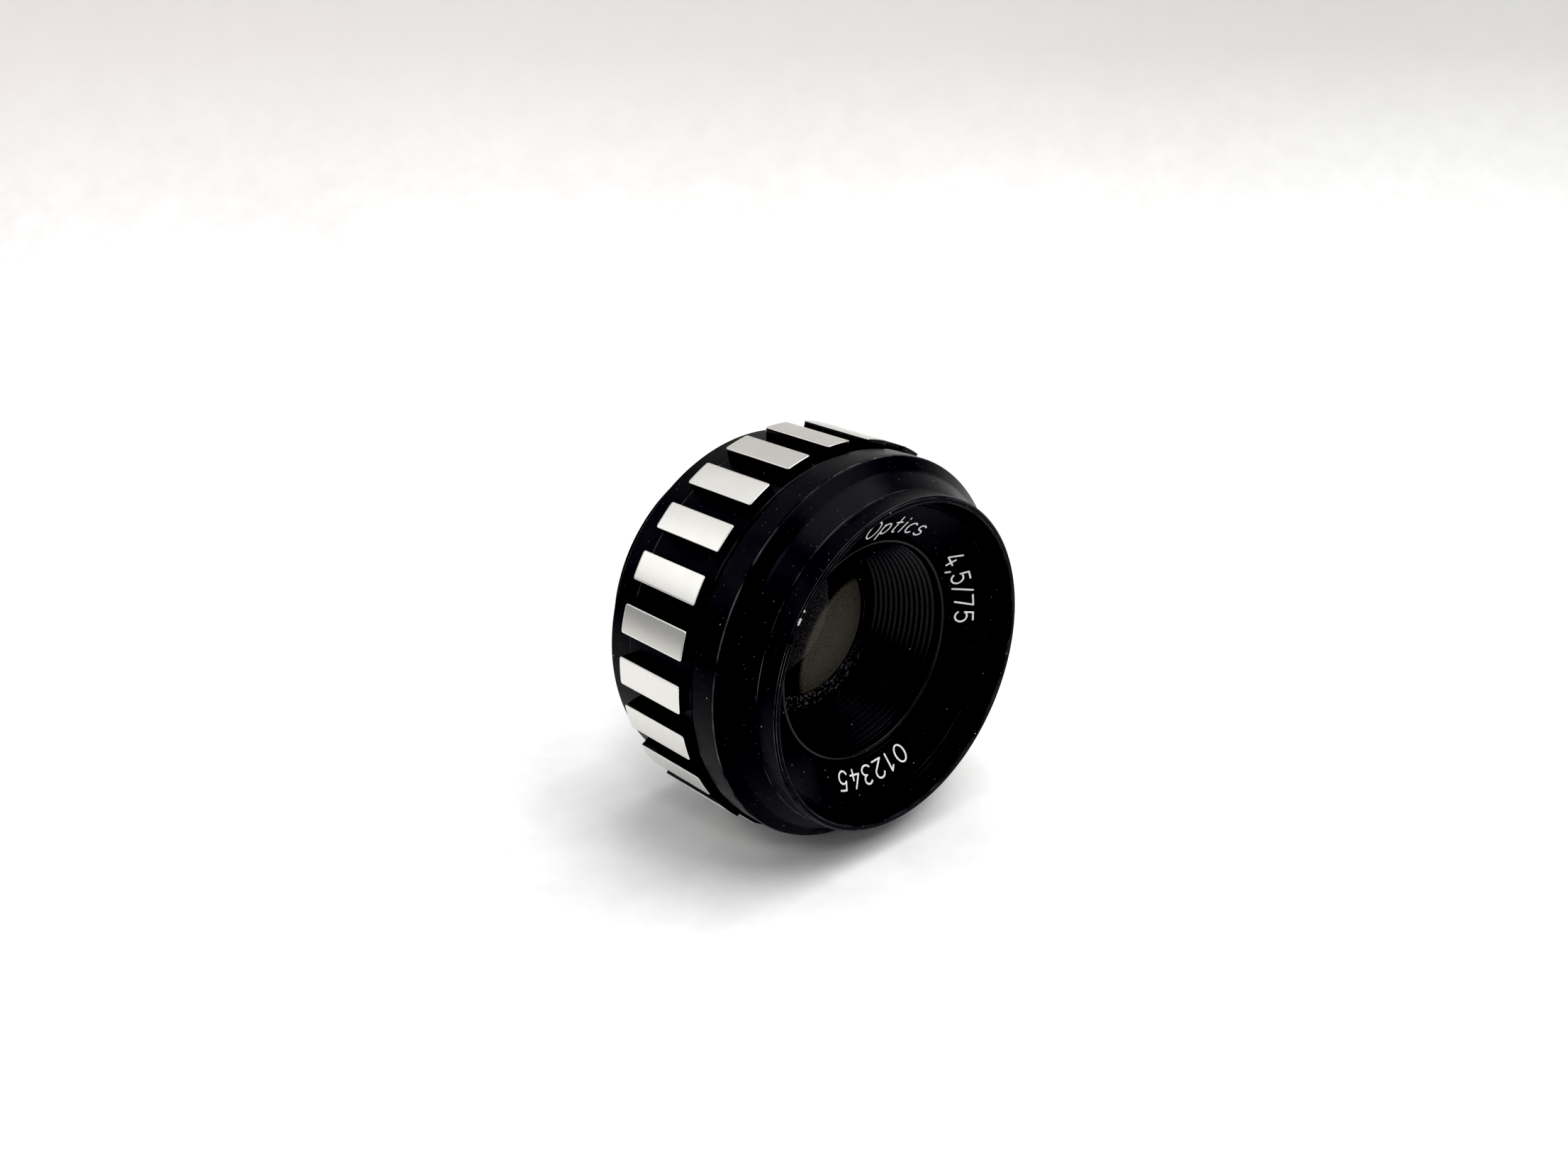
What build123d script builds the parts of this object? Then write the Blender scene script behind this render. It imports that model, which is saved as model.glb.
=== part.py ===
"""Enlarger lens, 75 mm f/4.5: a three-element lens in a black barrel, with a turning aperture ring.

The lens lies on its side, as it does on a bench. +Z is up and the front of the lens faces -Y.
The origin is the centre of the flange seat, where the lens meets its lens board.
Turned parts are drawn as (radius, height) points, with the height measured forward from the seat.
Angles are counted anticlockwise from the top (+Z), as the front of the lens is looked at.
"""

from build123d import *
from math import asin, cos, degrees, radians, sin
import os

os.makedirs("parts", exist_ok=True)

# Fits
running_gap = 0.05
seat_gap = 0.02

# Rear barrel: thread, flange and the journal that the aperture ring turns on
thread_r = 19.5
thread_length = 5.0
thread_tube_inner_r = 17.9
flange_r = 23.2
flange_front = 4.0
journal_r = 20.5
journal_front = 16.0
spigot_r = 18.5
spigot_front = 18.8
housing_bore_r = 16.2
cell_bore_r = 17.0
cell_shoulder = 6.8
web_rear = -1.4
web_front = -0.25
rear_cell_r = 12.15
washer_recess_inner_r = 21.2
washer_recess_outer_r = 22.7
washer_recess_floor = 3.4
washer_front = 4.1
slot_half_height = 0.85
slot_end_margin = 3.5

# Aperture ring with its raised lands
ring_rear = 4.15
ring_front = 15.85
ring_r = 23.5
ring_bead_r = 23.7
ring_bore_r = journal_r + running_gap
land_count = 24
land_pitch = 360 / land_count
land_r = 25.2
land_width = 3.57
land_rear = 4.55
land_front = 15.6
land_corner_r = 0.3
land_phase = -0.1

# Front barrel
band_r = 24.35
band_rear = 16.9
band_front = 20.5
shoulder_r = 22.7
shoulder_front = 21.95
rim_r = 21.0
neck_rear = 24.35
rim_front = 27.15
recess_r = 20.15
recess_rear = 24.2
nameplate_bore_r = 20.0
nameplate_seat = 20.25
web_bore_r = 15.1
waist_rear_r = 22.4
waist_front_r = 22.8

# Nameplate cone
cone_outer_r = 19.05
cone_outer_front = 24.0
cone_inner_r = 14.45
cone_inner_front = 21.3
lock_ring_rear = 23.25
lock_ring_front = 24.15

# Grooved baffle
baffle_front_r = 13.55
baffle_rear_r = 11.6
baffle_rear = 10.95
baffle_groove_top = 20.1
baffle_grooves = 12
baffle_groove_depth = 0.28
bead_top = 21.1
bead_inner_r = baffle_front_r + 0.1
bead_crest_r = 14.02
bead_outer_r = 14.4
baffle_skirt_r = 14.3
baffle_foot_r = 12.7

# Glass
front_glass_r = 10.6
front_glass_vertex = 12.25
front_glass_back = 7.9
front_glass_radius = 31.0
front_glass_back_radius = 180.0
middle_glass_r = 8.4
middle_glass_vertex = 6.1
middle_glass_back = 5.1
middle_glass_radius = 45.0
middle_glass_back_radius = 24.0
rear_glass_r = 9.35
rear_glass_vertex = -0.7
rear_glass_back = -4.3
rear_glass_radius = 60.0
rear_glass_back_radius = 28.0

# Front cell, its spacer and its clamp ring
spacer_r = 7.9
cell_r = 13.4
cell_rear = 3.3
cell_front = 10.8
cell_opening_r = 7.7
cell_flange_front = 8.6
clamp_thread_r = 11.5
clamp_thread_rear = 10.4
clamp_opening_r = 9.3
clamp_foot_r = 10.2
clamp_front = 11.25

# Rear cell and its clamp ring
rear_lip_r = 8.6
rear_clamp_thread_r = 10.0
rear_clamp_opening_r = 8.7
rear_flange_r = 13.2
rear_flange_rear = -4.6
rear_flange_front = -3.2

# Iris
blade_count = 8
blade_pitch = 360 / blade_count
open_r = 7.6
smallest_r = 2.05
blade_width = 3.7
blade_span = 118
blade_thickness = 0.12
blade_step = 0.2
first_blade = 0.62
pivot_r = 12.1
pivot_pin_r = 0.4
lever = 3.0
slot_clearance = 0.1
ring_turn = 48.0
housing_inner_r = 15.2
housing_front = 4.2
housing_rear = -0.2
housing_floor_front = 0.5
housing_opening_r = 8.2
snap_groove_rear = 3.2
snap_groove_front = 3.7
cam_opening_r = 8.8
cam_rear = 2.4
cam_front = 3.1
cam_r = 15.1
cam_skirt_r = 14.7
cam_skirt_inner_r = 13.9
cam_skirt_front = 6.3

# Actuating screw, which joins the aperture ring to the cam ring
screw_height = 5.2
screw_angle = land_phase + land_pitch / 2 - 7 * land_pitch
screw_head_r = 0.8
screw_tip_r = 0.65

# Grub screw that locks the front barrel
grub_angle = -150.0
grub_height = 18.0
grub_r = 0.8
grub_length = 4.6
driver_slot = 0.3

# Blade swing that closes the opening, and its ratio to the turn of the aperture ring
blade_swing = 2 * degrees(asin((open_r - smallest_r) / (2 * pivot_r)))
blade_ratio = blade_swing / ring_turn

axial_plane = Plane(origin=(0, 0, 0), x_dir=(1, 0, 0), z_dir=(0, 0, -1))


def face_plane(height):
    """Plane across the lens axis, seen from the front, at a height above the flange seat."""
    return Plane(origin=(0, -height, 0), x_dir=(1, 0, 0), z_dir=(0, -1, 0))


def blade_plane(height, angle):
    """Plane across the lens axis, turned so that its own +Y points at a blade's pivot."""
    across = (cos(radians(angle)), 0, sin(radians(angle)))
    return Plane(origin=(0, -height, 0), x_dir=across, z_dir=(0, -1, 0))


def radial_plane(angle, height, radius):
    """Plane that faces outward from the lens axis, at an angle from the top."""
    outward = (-sin(radians(angle)), 0, cos(radians(angle)))
    centre = (outward[0] * radius, -height, outward[2] * radius)
    return Plane(origin=centre, x_dir=(0, -1, 0), z_dir=outward)


def turned(points):
    """Closed section through (radius, height) points, ready to revolve about the lens axis."""
    with BuildSketch(axial_plane) as section:
        with BuildLine():
            Polyline(*points, close=True)
        make_face()
    return section.sketch


def tube(inner_r, outer_r, rear, front):
    """Section of a plain tube."""
    return turned([(inner_r, rear), (outer_r, rear), (outer_r, front), (inner_r, front)])


def sag(surface_radius, edge_r):
    """Depth of a spherical surface at its edge."""
    return surface_radius - (surface_radius**2 - edge_r**2) ** 0.5


def lens_section(edge_r, front_centre, front_edge, rear_centre, rear_edge):
    """Half section of a lens with spherical faces, from the axis to its ground edge."""
    middle = edge_r / 2
    front_middle = front_centre + (front_edge - front_centre) * sag_share(front_edge - front_centre, edge_r)
    rear_middle = rear_centre + (rear_edge - rear_centre) * sag_share(rear_edge - rear_centre, edge_r)
    with BuildSketch(axial_plane) as section:
        with BuildLine():
            Line((0, rear_centre), (0, front_centre))
            ThreePointArc((0, front_centre), (middle, front_middle), (edge_r, front_edge))
            Line((edge_r, front_edge), (edge_r, rear_edge))
            ThreePointArc((edge_r, rear_edge), (middle, rear_middle), (0, rear_centre))
        make_face()
    return section.sketch


def sag_share(depth, edge_r):
    """Share of a spherical face's depth that is reached at half its radius."""
    surface_radius = (edge_r**2 + depth**2) / (2 * abs(depth))
    return sag(surface_radius, edge_r / 2) / abs(depth)


def at_angle(radius, angle):
    """Point across the axis, with the angle counted anticlockwise from the top."""
    return (-radius * sin(radians(angle)), radius * cos(radians(angle)))


def drive_pin_at(swing):
    """Centre of the top blade's drive pin, seen from the front, once the blade has swung inward."""
    heading = radians(180 + swing)
    return (lever * cos(heading), pivot_r + lever * sin(heading))


def turned_back(point, angle):
    """Point as the cam ring sees it, once the ring has turned through an angle."""
    turn = radians(-angle)
    return (point[0] * cos(turn) - point[1] * sin(turn), point[0] * sin(turn) + point[1] * cos(turn))


def finish_part(part, label):
    """Name a finished piece and write it."""
    part.label = label
    export_step(part, f"parts/{label}.step")


# ---------------------------------------------------------------- rear barrel

with BuildPart() as rear_barrel:
    revolve(
        turned(
            [
                (thread_tube_inner_r, -thread_length),
                (thread_r, -thread_length),
                (thread_r, 0),
                (flange_r - 0.25, 0),
                (flange_r, 0.25),
                (flange_r, flange_front - 0.15),
                (flange_r - 0.15, flange_front),
                (washer_recess_outer_r, flange_front),
                (washer_recess_outer_r, washer_recess_floor),
                (washer_recess_inner_r, washer_recess_floor),
                (washer_recess_inner_r, flange_front),
                (journal_r, flange_front),
                (journal_r, journal_front),
                (spigot_r, journal_front),
                (spigot_r, spigot_front),
                (cell_bore_r, spigot_front),
                (cell_bore_r, cell_shoulder),
                (housing_bore_r, cell_shoulder),
                (housing_bore_r, web_front),
                (rear_cell_r + seat_gap, web_front),
                (rear_cell_r + seat_gap, web_rear),
                (thread_tube_inner_r, web_rear),
            ]
        ),
        axis=Axis.Y,
    )
    slot_span = ring_turn + 2 * slot_end_margin
    slot_middle_r = (housing_bore_r + journal_r) / 2
    with BuildSketch(axial_plane.rotated((0, -(screw_angle - slot_end_margin + 90), 0))):
        with Locations((slot_middle_r, screw_height)):
            Rectangle(journal_r - housing_bore_r + 1, 2 * slot_half_height)
    revolve(axis=Axis.Y, revolution_arc=-slot_span, mode=Mode.SUBTRACT)
finish_part(rear_barrel.part, "rear_barrel")

with BuildPart() as friction_washer:
    washer_section = tube(
        washer_recess_inner_r + 0.1, washer_recess_outer_r - 0.1, washer_recess_floor + seat_gap, washer_front
    )
    revolve(washer_section, axis=Axis.Y)
finish_part(friction_washer.part, "friction_washer")

# ---------------------------------------------------------------- aperture ring

with BuildPart() as ring_lands:
    with BuildSketch(face_plane(land_rear)):
        with PolarLocations(ring_r + 0.6, land_count, start_angle=90 + land_phase):
            Rectangle(3.0, land_width)
        Circle(land_r, mode=Mode.INTERSECT)
    extrude(amount=land_front - land_rear)
    radial_edges = ring_lands.edges().filter_by(lambda edge: abs(edge.tangent_at(0.5).Y) < 0.5)
    corners = radial_edges.filter_by(GeomType.LINE).filter_by(lambda edge: 1.5 < edge.length < 3.0)
    fillet(corners, land_corner_r)

with BuildPart() as aperture_ring:
    revolve(
        turned(
            [
                (ring_bore_r, ring_rear),
                (ring_r - 0.15, ring_rear),
                (ring_r, ring_rear + 0.15),
                (ring_r, land_front - 0.05),
                (ring_bead_r, land_front + 0.05),
                (ring_bead_r, ring_front - 0.1),
                (ring_bead_r - 0.1, ring_front),
                (ring_bore_r, ring_front),
            ]
        ),
        axis=Axis.Y,
    )
    add(ring_lands.part)
    with BuildSketch(radial_plane(screw_angle, screw_height, journal_r - 1)):
        Circle(screw_head_r)
    extrude(amount=land_r - journal_r + 1, mode=Mode.SUBTRACT)
finish_part(aperture_ring.part, "aperture_ring")

cam_track = [turned_back(drive_pin_at(blade_swing * share), ring_turn * share) for share in (0, 0.5, 1)]
cam_track_line = ThreePointArc(*cam_track).edge()

with BuildPart() as cam_ring:
    revolve(
        turned(
            [
                (cam_opening_r, cam_rear),
                (cam_r, cam_rear),
                (cam_r, cam_front),
                (cam_skirt_r, cam_front),
                (cam_skirt_r, cam_skirt_front),
                (cam_skirt_inner_r, cam_skirt_front),
                (cam_skirt_inner_r, cam_front),
                (cam_opening_r, cam_front),
            ]
        ),
        axis=Axis.Y,
    )
    with BuildSketch(face_plane(cam_rear - 0.1)):
        with PolarLocations(0, blade_count):
            SlotArc(cam_track_line, 2 * (pivot_pin_r + slot_clearance))
    extrude(amount=cam_front - cam_rear + 0.2, mode=Mode.SUBTRACT)
    with BuildSketch(radial_plane(screw_angle, screw_height, cam_skirt_inner_r - 1)):
        Circle(screw_tip_r + seat_gap)
    extrude(amount=cam_skirt_r - cam_skirt_inner_r + 2, mode=Mode.SUBTRACT)
finish_part(cam_ring.part, "cam_ring")

with BuildPart() as actuating_screw:
    with BuildSketch(radial_plane(screw_angle, screw_height, cam_skirt_inner_r + 0.1)):
        Circle(screw_tip_r)
    extrude(amount=journal_r - cam_skirt_inner_r)
    with BuildSketch(radial_plane(screw_angle, screw_height, journal_r + 0.1)):
        Circle(screw_head_r - seat_gap)
    extrude(amount=ring_r - journal_r - 0.4)
    with BuildSketch(radial_plane(screw_angle, screw_height, ring_r - 0.8)):
        Rectangle(2 * screw_head_r, driver_slot)
    extrude(amount=1.0, mode=Mode.SUBTRACT)
finish_part(actuating_screw.part, "actuating_screw")

# ---------------------------------------------------------------- front barrel and nameplate

with BuildPart() as front_barrel:
    revolve(
        turned(
            [
                (spigot_r + seat_gap, journal_front),
                (waist_rear_r, journal_front),
                (waist_front_r, band_rear),
                (band_r - 0.12, band_rear),
                (band_r, band_rear + 0.12),
                (band_r, band_front),
                (shoulder_r, shoulder_front),
                (rim_r + 0.15, neck_rear - 0.1),
                (rim_r, neck_rear + 0.1),
                (rim_r, rim_front - 0.2),
                (rim_r - 0.2, rim_front),
                (recess_r + 0.12, rim_front),
                (recess_r, rim_front - 0.12),
                (recess_r, recess_rear),
                (nameplate_bore_r, recess_rear),
                (nameplate_bore_r, nameplate_seat),
                (web_bore_r, nameplate_seat),
                (web_bore_r, spigot_front + 0.05),
                (spigot_r + seat_gap, spigot_front + 0.05),
            ]
        ),
        axis=Axis.Y,
    )
    with BuildSketch(radial_plane(grub_angle, grub_height, spigot_r - 1)):
        Circle(grub_r)
    extrude(amount=band_r - spigot_r + 2, mode=Mode.SUBTRACT)
finish_part(front_barrel.part, "front_barrel")

with BuildPart() as barrel_grub_screw:
    with BuildSketch(radial_plane(grub_angle, grub_height, spigot_r + 0.02)):
        Circle(grub_r - seat_gap)
    extrude(amount=grub_length)
    with BuildSketch(radial_plane(grub_angle, grub_height, spigot_r + grub_length - 0.6)):
        Rectangle(2 * grub_r, driver_slot)
    extrude(amount=1.0, mode=Mode.SUBTRACT)
finish_part(barrel_grub_screw.part, "barrel_grub_screw")

with BuildPart() as nameplate_cone:
    revolve(
        turned(
            [
                (cone_inner_r, nameplate_seat + seat_gap),
                (nameplate_bore_r - seat_gap, nameplate_seat + seat_gap),
                (nameplate_bore_r - seat_gap, lock_ring_rear - 0.05),
                (cone_outer_r, lock_ring_rear - 0.05),
                (cone_outer_r, cone_outer_front),
                (cone_inner_r, cone_inner_front),
            ]
        ),
        axis=Axis.Y,
    )
finish_part(nameplate_cone.part, "nameplate_cone")

with BuildPart() as nameplate_lock_ring:
    revolve(
        turned(
            [
                (cone_outer_r + 0.05, lock_ring_rear),
                (nameplate_bore_r - seat_gap, lock_ring_rear),
                (nameplate_bore_r - seat_gap, lock_ring_front - 0.15),
                (nameplate_bore_r - 0.17, lock_ring_front),
                (cone_outer_r + 0.05, lock_ring_front),
            ]
        ),
        axis=Axis.Y,
    )
    with BuildSketch(face_plane(lock_ring_front - 0.45)):
        with PolarLocations(cone_outer_r + 0.3, 2, start_angle=20):
            Rectangle(1.0, 1.2)
    extrude(amount=1.0, mode=Mode.SUBTRACT)
finish_part(nameplate_lock_ring.part, "nameplate_lock_ring")

with BuildPart() as front_baffle:
    groove_pitch = (baffle_groove_top - baffle_rear) / baffle_grooves
    slope = (baffle_front_r - baffle_rear_r) / (baffle_groove_top - baffle_rear)
    cone_side = [(baffle_rear_r, baffle_rear)]
    for groove in range(baffle_grooves):
        crest = baffle_rear + groove * groove_pitch
        crest_r = baffle_rear_r + groove * groove_pitch * slope
        cone_side.append((crest_r, crest + 0.25 * groove_pitch))
        cone_side.append((crest_r + slope * groove_pitch + baffle_groove_depth, crest + 0.6 * groove_pitch))
        cone_side.append((crest_r + slope * groove_pitch, crest + groove_pitch))
    with BuildSketch(axial_plane):
        with BuildLine():
            Polyline(*cone_side, (bead_inner_r, bead_top - 0.5))
            ThreePointArc(
                (bead_inner_r, bead_top - 0.5), (bead_crest_r, bead_top), (bead_outer_r, bead_top - 0.5)
            )
            Polyline(
                (bead_outer_r, bead_top - 0.5),
                (bead_outer_r, nameplate_seat - 0.05),
                (web_bore_r - seat_gap, nameplate_seat - 0.05),
                (web_bore_r - seat_gap, spigot_front + 0.1),
                (baffle_skirt_r, spigot_front + 0.1),
                (baffle_foot_r, baffle_rear),
                (baffle_rear_r, baffle_rear),
            )
        make_face()
    revolve(axis=Axis.Y)
finish_part(front_baffle.part, "front_baffle")

# ---------------------------------------------------------------- front optical group

front_glass_edge = front_glass_vertex - sag(front_glass_radius, front_glass_r)
front_glass_back_edge = front_glass_back + sag(front_glass_back_radius, front_glass_r)
middle_glass_edge = middle_glass_vertex + sag(middle_glass_radius, middle_glass_r)
middle_glass_back_edge = middle_glass_back - sag(middle_glass_back_radius, middle_glass_r)
rear_glass_edge = rear_glass_vertex - sag(rear_glass_radius, rear_glass_r)
rear_glass_back_edge = rear_glass_back + sag(rear_glass_back_radius, rear_glass_r)

with BuildPart() as front_element:
    revolve(
        lens_section(
            front_glass_r, front_glass_vertex, front_glass_edge, front_glass_back, front_glass_back_edge
        ),
        axis=Axis.Y,
    )
finish_part(front_element.part, "front_element")

with BuildPart() as middle_element:
    revolve(
        lens_section(
            middle_glass_r, middle_glass_vertex, middle_glass_edge, middle_glass_back, middle_glass_back_edge
        ),
        axis=Axis.Y,
    )
finish_part(middle_element.part, "middle_element")

with BuildPart() as lens_spacer:
    revolve(
        turned(
            [
                (spacer_r, middle_glass_edge + seat_gap),
                (front_glass_r, middle_glass_edge + seat_gap),
                (front_glass_r, front_glass_back_edge - seat_gap),
                (spacer_r, front_glass_back + sag(front_glass_back_radius, spacer_r) - seat_gap),
            ]
        ),
        axis=Axis.Y,
    )
finish_part(lens_spacer.part, "lens_spacer")

with BuildPart() as front_cell:
    revolve(
        turned(
            [
                (cell_opening_r, cell_rear),
                (cell_r, cell_rear),
                (cell_r, cell_shoulder + 0.05),
                (cell_bore_r - seat_gap, cell_shoulder + 0.05),
                (cell_bore_r - seat_gap, cell_flange_front),
                (cell_r, cell_flange_front),
                (cell_r, cell_front),
                (clamp_thread_r + seat_gap, cell_front),
                (clamp_thread_r + seat_gap, clamp_thread_rear),
                (front_glass_r + 0.05, clamp_thread_rear),
                (front_glass_r + 0.05, middle_glass_edge),
                (middle_glass_r + 0.05, middle_glass_edge),
                (middle_glass_r + 0.05, middle_glass_back_edge - seat_gap),
                (cell_opening_r, middle_glass_back_edge - seat_gap),
            ]
        ),
        axis=Axis.Y,
    )
finish_part(front_cell.part, "front_cell")

with BuildPart() as front_clamp_ring:
    revolve(
        turned(
            [
                (clamp_opening_r, clamp_front - 0.25),
                (clamp_foot_r, clamp_thread_rear + 0.22),
                (clamp_foot_r + 0.3, clamp_thread_rear + 0.04),
                (clamp_thread_r, clamp_thread_rear + 0.04),
                (clamp_thread_r, clamp_front - 0.35),
                (clamp_thread_r - 0.2, clamp_front),
                (clamp_opening_r + 0.25, clamp_front),
            ]
        ),
        axis=Axis.Y,
    )
    with BuildSketch(face_plane(clamp_front - 0.2)):
        with PolarLocations(clamp_foot_r + 0.4, 2, start_angle=65):
            Rectangle(1.6, 0.9)
    extrude(amount=1.0, mode=Mode.SUBTRACT)
finish_part(front_clamp_ring.part, "front_clamp_ring")

# ---------------------------------------------------------------- iris

with BuildPart() as iris_housing:
    revolve(
        turned(
            [
                (housing_opening_r, housing_rear),
                (housing_bore_r - seat_gap, housing_rear),
                (housing_bore_r - seat_gap, housing_front),
                (housing_inner_r, housing_front),
                (housing_inner_r, snap_groove_front),
                (housing_inner_r + 0.4, snap_groove_front),
                (housing_inner_r + 0.4, snap_groove_rear),
                (housing_inner_r, snap_groove_rear),
                (housing_inner_r, housing_floor_front),
                (housing_opening_r, housing_floor_front),
            ]
        ),
        axis=Axis.Y,
    )
    with BuildSketch(face_plane(housing_rear - 0.1)):
        with PolarLocations(pivot_r, blade_count, start_angle=90):
            Circle(pivot_pin_r + running_gap)
    extrude(amount=1.0, mode=Mode.SUBTRACT)
finish_part(iris_housing.part, "iris_housing")

with BuildPart() as cam_snap_ring:
    snap_section = tube(
        cam_skirt_r + 0.15, housing_inner_r + 0.35, snap_groove_rear + 0.05, snap_groove_front - 0.05
    )
    revolve(snap_section, axis=Axis.Y)
    with BuildSketch(face_plane(snap_groove_rear - 0.2)):
        with Locations(at_angle(housing_inner_r, 180)):
            Rectangle(3.0, 2.0)
    extrude(amount=1.0, mode=Mode.SUBTRACT)
finish_part(cam_snap_ring.part, "cam_snap_ring")

blade_middle_r = open_r + blade_width / 2
pivot = (0, pivot_r)
drive_pin = drive_pin_at(0)

for blade in range(blade_count):
    blade_rear = first_blade + blade * blade_step
    blade_middle = blade_rear + blade_thickness / 2
    with BuildPart() as iris_blade:
        with BuildSketch(blade_plane(blade_rear, blade * blade_pitch)):
            with BuildLine():
                inner = CenterArc((0, 0), open_r, 86, blade_span + 4)
                outer = CenterArc((0, 0), open_r + blade_width, 86, blade_span + 4)
                Line(inner @ 0, outer @ 0)
                Line(inner @ 1, outer @ 1)
            make_face()
            with Locations(at_angle(blade_middle_r, blade_span)):
                Circle(blade_width / 2)
            with BuildSketch(mode=Mode.PRIVATE) as ear:
                with Locations(pivot, drive_pin):
                    Circle(0.9)
                with Locations(at_angle(blade_middle_r, 8)):
                    Circle(1.6)
                make_hull()
            add(ear.sketch)
        extrude(amount=blade_thickness)
        with BuildSketch(blade_plane(-0.1, blade * blade_pitch)):
            with Locations(pivot):
                Circle(pivot_pin_r)
        extrude(amount=blade_middle + 0.1)
        with BuildSketch(blade_plane(blade_middle, blade * blade_pitch)):
            with Locations(drive_pin):
                Circle(pivot_pin_r)
        extrude(amount=cam_front - 0.1 - blade_middle)
    finish_part(iris_blade.part, f"iris_blade_{blade + 1}")

# ---------------------------------------------------------------- rear optical group

with BuildPart() as rear_element:
    revolve(
        lens_section(rear_glass_r, rear_glass_vertex, rear_glass_edge, rear_glass_back, rear_glass_back_edge),
        axis=Axis.Y,
    )
finish_part(rear_element.part, "rear_element")

with BuildPart() as rear_cell:
    revolve(
        turned(
            [
                (rear_lip_r, rear_glass_vertex - sag(rear_glass_radius, rear_lip_r) + seat_gap),
                (rear_glass_r + 0.03, rear_glass_edge + seat_gap),
                (rear_glass_r + 0.03, rear_glass_back_edge - 0.1),
                (rear_clamp_thread_r, rear_glass_back_edge - 0.1),
                (rear_clamp_thread_r, rear_flange_rear + 0.25),
                (rear_clamp_thread_r + 0.25, rear_flange_rear),
                (rear_flange_r - 0.25, rear_flange_rear),
                (rear_flange_r, rear_flange_rear + 0.25),
                (rear_flange_r, rear_flange_front),
                (rear_cell_r, rear_flange_front),
                (rear_cell_r, web_front - 0.1),
                (rear_lip_r + 0.6, web_front - 0.1),
                (rear_lip_r, web_front - 0.65),
            ]
        ),
        axis=Axis.Y,
    )
    with BuildSketch(face_plane(rear_flange_rear - 0.1)):
        with PolarLocations(rear_flange_r - 0.8, 2, start_angle=90):
            Rectangle(1.2, 1.4)
    extrude(amount=0.9, mode=Mode.SUBTRACT)
finish_part(rear_cell.part, "rear_cell")

with BuildPart() as rear_clamp_ring:
    revolve(
        turned(
            [
                (rear_clamp_opening_r, rear_glass_back_edge - 0.42),
                (rear_clamp_opening_r + 0.6, rear_glass_back_edge - 0.12),
                (rear_clamp_thread_r - seat_gap, rear_glass_back_edge - 0.12),
                (rear_clamp_thread_r - seat_gap, rear_flange_rear + 0.8),
                (rear_clamp_opening_r + 0.5, rear_flange_rear + 0.8),
                (rear_clamp_opening_r, rear_flange_rear + 1.2),
            ]
        ),
        axis=Axis.Y,
    )
    with BuildSketch(face_plane(rear_flange_rear + 0.7)):
        with PolarLocations(rear_clamp_thread_r - 0.5, 2, start_angle=0):
            Rectangle(1.4, 0.8)
    extrude(amount=0.4, mode=Mode.SUBTRACT)
finish_part(rear_clamp_ring.part, "rear_clamp_ring")

print("blade swing", round(blade_swing, 4), "deg, ratio to the ring", round(blade_ratio, 6))
for blade in range(blade_count):
    print("pivot", blade + 1, [round(place, 4) for place in at_angle(pivot_r, blade * blade_pitch)])
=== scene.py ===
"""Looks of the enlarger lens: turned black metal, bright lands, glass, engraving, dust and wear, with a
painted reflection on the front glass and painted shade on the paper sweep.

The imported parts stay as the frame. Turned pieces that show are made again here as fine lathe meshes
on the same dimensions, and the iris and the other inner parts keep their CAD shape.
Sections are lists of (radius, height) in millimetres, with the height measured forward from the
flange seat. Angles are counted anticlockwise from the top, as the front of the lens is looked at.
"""

import math
import random

import bmesh
import bpy
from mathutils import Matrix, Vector


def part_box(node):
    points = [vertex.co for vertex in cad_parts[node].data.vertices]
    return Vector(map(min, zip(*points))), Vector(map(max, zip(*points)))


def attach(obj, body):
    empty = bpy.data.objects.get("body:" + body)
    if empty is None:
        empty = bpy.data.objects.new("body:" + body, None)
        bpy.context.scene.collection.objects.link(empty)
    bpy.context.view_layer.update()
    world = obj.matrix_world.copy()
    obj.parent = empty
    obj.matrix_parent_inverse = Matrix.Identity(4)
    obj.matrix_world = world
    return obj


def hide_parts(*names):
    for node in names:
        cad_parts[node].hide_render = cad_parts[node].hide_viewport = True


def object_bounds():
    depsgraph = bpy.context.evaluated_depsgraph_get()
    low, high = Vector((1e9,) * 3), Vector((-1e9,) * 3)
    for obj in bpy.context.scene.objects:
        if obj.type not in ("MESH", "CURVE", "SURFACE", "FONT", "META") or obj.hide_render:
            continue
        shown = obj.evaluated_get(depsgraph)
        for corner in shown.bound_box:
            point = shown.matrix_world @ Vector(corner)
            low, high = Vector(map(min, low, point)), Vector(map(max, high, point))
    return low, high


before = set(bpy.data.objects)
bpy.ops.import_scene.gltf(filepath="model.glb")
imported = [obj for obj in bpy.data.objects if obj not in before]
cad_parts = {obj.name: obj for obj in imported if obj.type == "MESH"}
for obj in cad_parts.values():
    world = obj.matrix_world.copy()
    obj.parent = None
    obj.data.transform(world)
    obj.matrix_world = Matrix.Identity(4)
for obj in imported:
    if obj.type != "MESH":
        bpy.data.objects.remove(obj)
cad_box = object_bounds()
random.seed(75)

MM = 0.001
SEGMENTS = 288

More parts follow.
